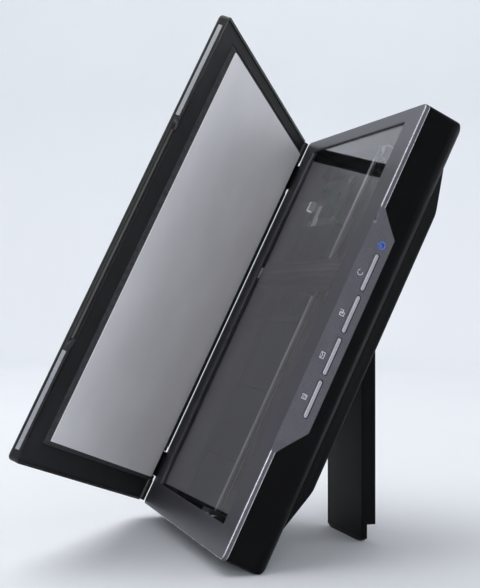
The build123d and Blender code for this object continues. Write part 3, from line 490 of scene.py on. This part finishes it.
look = signLook["document"]
x, y = look["at"]
bm = frameSign(look["at"], look["size"])
for step in (-1.0, 0.0, 1.0):
    level = y + step * look["textStep"]
    gather(bm, bar((x - look["textHalf"], x + look["textHalf"]),
                   (level - look["thick"], level + look["thick"])))
look = signLook["envelope"]
x, y = look["at"]
gather(bm, frameSign(look["at"], look["size"]))
for turnSide in (-1, 1):
    flap = bar((0.0, look["flap"]), (-look["thick"], look["thick"]))
    bmesh.ops.rotate(flap, verts=flap.verts, cent=origin,
                     matrix=Matrix.Rotation(math.radians(look["flapDeg"]), 3, "Z"))
    if turnSide < 0:
        bmesh.ops.mirror(flap, geom=flap.verts[:] + flap.edges[:] + flap.faces[:], axis="X", merge_dist=-1)
        bmesh.ops.delete(flap, geom=[v for v in flap.verts if v.co.x > look["keepTo"]], context="VERTS")
    bmesh.ops.translate(flap, verts=flap.verts, vec=(x, y - look["drop"], 0))
    gather(bm, flap)
look = signLook["copies"]
x, y = look["at"]
for way in (-1, 1):
    gather(bm, frameSign((x + way * look["shift"][0], y + way * look["shift"][1]), look["size"]))
gather(bm, ringSign(signLook["turn"]))
finishPiece("buttonSigns", bm, "print_pale", "body", place=wingFace)
look = signLook["power"]
x, y = look["at"]
bm = ringSign(look)
gather(bm, bar((x - look["half"], x + look["half"]), (y + look["stroke"][0], y + look["stroke"][1])))
finishPiece("powerSign", bm, "print_blue", "body", place=wingFace)
print("marks printed")

# ---- lid lining: a bevelled foam mat with a film sheet on it ----
matLook = {"across": (3.6, 222.6), "along": (20.0, 352.0), "drop": 3.0, "taperDeg": 50.0,
           "edgeRound": 0.35, "edgeSteps": 3, "fill": 0.95, "sharpDeg": 25}
sheetLook = {"thick": 0.6, "inset": 0.2, "corner": 1.2, "cornerSteps": 5, "edge": 0.2, "edgeSteps": 2}
matInset = matLook["drop"] * math.tan(math.radians(matLook["taperDeg"]))
bm = slab(matLook["across"], matLook["along"], (-matLook["drop"], 0.0))
matMiddle = Vector((sum(matLook["across"]) / 2, sum(matLook["along"]) / 2, 0))
matHalf = (matMiddle.x - matLook["across"][0], matMiddle.y - matLook["along"][0])
lowered = [v for v in bm.verts if v.co.z < -matLook["drop"] / 2]
bmesh.ops.scale(bm, verts=lowered, vec=(1 - matInset / matHalf[0], 1 - matInset / matHalf[1], 1),
                space=Matrix.Translation(-matMiddle))
sloping = [e for e in bm.edges if rise(e) > tinyMm or all(v in lowered for v in e.verts)]
roundEdges(bm, sloping, matLook["edgeRound"], matLook["edgeSteps"])
lidMat = finishPiece("lidMat", bm, "foam_grey", "lid", ["lid_mat"], place=lidBed,
                     sharpDeg=matLook["sharpDeg"])
sheetInset = matInset + sheetLook["inset"]
bm = slab((matLook["across"][0] + sheetInset, matLook["across"][1] - sheetInset),
          (matLook["along"][0] + sheetInset, matLook["along"][1] - sheetInset),
          (-matLook["drop"] - sheetLook["thick"], -matLook["drop"]), corner=sheetLook["corner"],
          cornerSteps=sheetLook["cornerSteps"], lowEdge=sheetLook["edge"], edgeSteps=sheetLook["edgeSteps"])
finishPiece("matSheet", bm, "sheet_white", "lid", ["mat_sheet"], place=lidBed)
print("lid lining done")

# ---- rounded back of the lid between its hinges: it closes the view past the hinge line ----
barrelLook = {"radius": 3.5, "spans": ((2.0, 21.2), (53.5, 310.5), (342.8, 362.0)), "sides": 64,
              "edgeRound": 0.4, "edgeSteps": 3}
layDown = Matrix.Rotation(math.radians(90), 3, "X")
bm = bmesh.new()
for low, high in barrelLook["spans"]:
    rod = bmesh.new()
    bmesh.ops.create_cone(rod, cap_ends=True, segments=barrelLook["sides"], radius1=barrelLook["radius"],
                          radius2=barrelLook["radius"], depth=high - low)
    roundEdges(rod, [e for e in rod.edges if rise(e) < tinyMm], barrelLook["edgeRound"],
               barrelLook["edgeSteps"])
    bmesh.ops.rotate(rod, verts=rod.verts, cent=origin, matrix=layDown)
    bmesh.ops.translate(rod, verts=rod.verts, vec=(0, (low + high) / 2, 0))
    gather(bm, rod)
finishPiece("lidBarrel", bm, "lid_black", "lid", place=lidBed)
print("hinge barrel done")

# ---- floor, lights and camera ----
stageLook = {"radius": 3.4, "bend": 0.9, "wall": 2.6, "hole": 0.02, "bendSteps": 24, "roundSteps": 96,
             "mergeM": 0.0001}
flatRadius = stageLook["radius"] - stageLook["bend"]
bm = bmesh.new()
start = bm.verts.new((stageLook["hole"], 0, 0))
rim = bm.verts.new((flatRadius, 0, 0))
bm.edges.new((start, rim))
bend = bmesh.ops.spin(bm, geom=[rim], cent=(flatRadius, 0, stageLook["bend"]), axis=(0, -1, 0),
                      angle=math.radians(90), steps=stageLook["bendSteps"])
top = [v for v in bend["geom_last"] if isinstance(v, bmesh.types.BMVert)][0]
up = bmesh.ops.extrude_vert_indiv(bm, verts=[top])
bmesh.ops.translate(bm, verts=up["verts"], vec=(0, 0, stageLook["wall"]))
bmesh.ops.spin(bm, geom=bm.verts[:] + bm.edges[:], cent=origin, axis=(0, 0, 1), angle=math.radians(360),
               steps=stageLook["roundSteps"], use_merge=True)
bmesh.ops.remove_doubles(bm, verts=bm.verts, dist=stageLook["mergeM"])
middleHole = [e for e in bm.edges if e.is_boundary and e.verts[0].co.length < 2 * stageLook["hole"]]
bmesh.ops.holes_fill(bm, edges=middleHole, sides=0)
bmesh.ops.recalc_face_normals(bm, faces=bm.faces)
mesh = bpy.data.meshes.new("studioFloor")
bm.to_mesh(mesh)
bm.free()
for face in mesh.polygons:
    face.use_smooth = True
studioFloor = bpy.data.objects.new("studioFloor", mesh)
bpy.context.scene.collection.objects.link(studioFloor)
# seamless paper: pale, and dull enough to show only soft shadows
mesh.materials.append(surface("paper_seamless_pale", {
    "colours": ("#e3e6ea", "#e7eaee"), "driftMm": 900, "roughness": (0.8, 0.9), "grainMm": 2.0,
    "reliefMm": 0.01, "specular": 0.1}))

lights = {
    "topSoftbox": {"at": (-0.2, -0.6, 2.3), "size": (2.4, 2.0), "watts": 32, "aim": (0, 0, 0.1)},
    "leftSoftbox": {"at": (-1.5, -1.7, 1.3), "size": (1.4, 1.6), "watts": 7, "aim": (0, 0, 0.2)},
    "backdropWash": {"at": (-2.2, 0.8, 3.0), "size": (2.4, 2.4), "watts": 33, "aim": (-3.4, 1.2, 0.7)},
    "rightSoftbox": {"at": (1.0, 2.2, 0.55), "size": (1.6, 1.0), "watts": 7, "aim": (0, 0, 0.25)},
    "frontSoftbox": {"at": (2.3, -0.7, 0.75), "size": (1.2, 1.0), "watts": 18, "aim": (0, 0, 0.2)},
}
for name, look in lights.items():
    lamp = bpy.data.lights.new(name, "AREA")
    lamp.shape = "RECTANGLE"
    lamp.size, lamp.size_y = look["size"]
    lamp.energy = look["watts"]
    holder = bpy.data.objects.new(name, lamp)
    holder.location = look["at"]
    holder.rotation_euler = (Vector(look["aim"]) - Vector(look["at"])).to_track_quat("-Z", "Y").to_euler()
    bpy.context.scene.collection.objects.link(holder)

worldLook = {"colour": "#e6e6e9", "strength": 0.42}
world = bpy.data.worlds.new("studioAir")
world.use_nodes = True
world.node_tree.nodes["Background"].inputs[0].default_value = linear(worldLook["colour"])
world.node_tree.nodes["Background"].inputs[1].default_value = worldLook["strength"]
bpy.context.scene.world = world
bpy.context.scene.view_settings.view_transform = "Standard"

cameraLook = {"at": (0.938, -0.2649, 0.1973), "tiltDeg": 90.111, "turnDeg": 72.864, "lensMm": 74.2}
lens = bpy.data.cameras.new("frontCamera")
lens.lens, lens.sensor_width = cameraLook["lensMm"], 36.0
lens.clip_start, lens.clip_end = 0.02, 20.0
frontCamera = bpy.data.objects.new("frontCamera", lens)
frontCamera.location = cameraLook["at"]
frontCamera.rotation_euler = (math.radians(cameraLook["tiltDeg"]), 0, math.radians(cameraLook["turnDeg"]))
bpy.context.scene.collection.objects.link(frontCamera)
bpy.context.scene.camera = frontCamera
print("studio set")

bpy.context.view_layer.update()
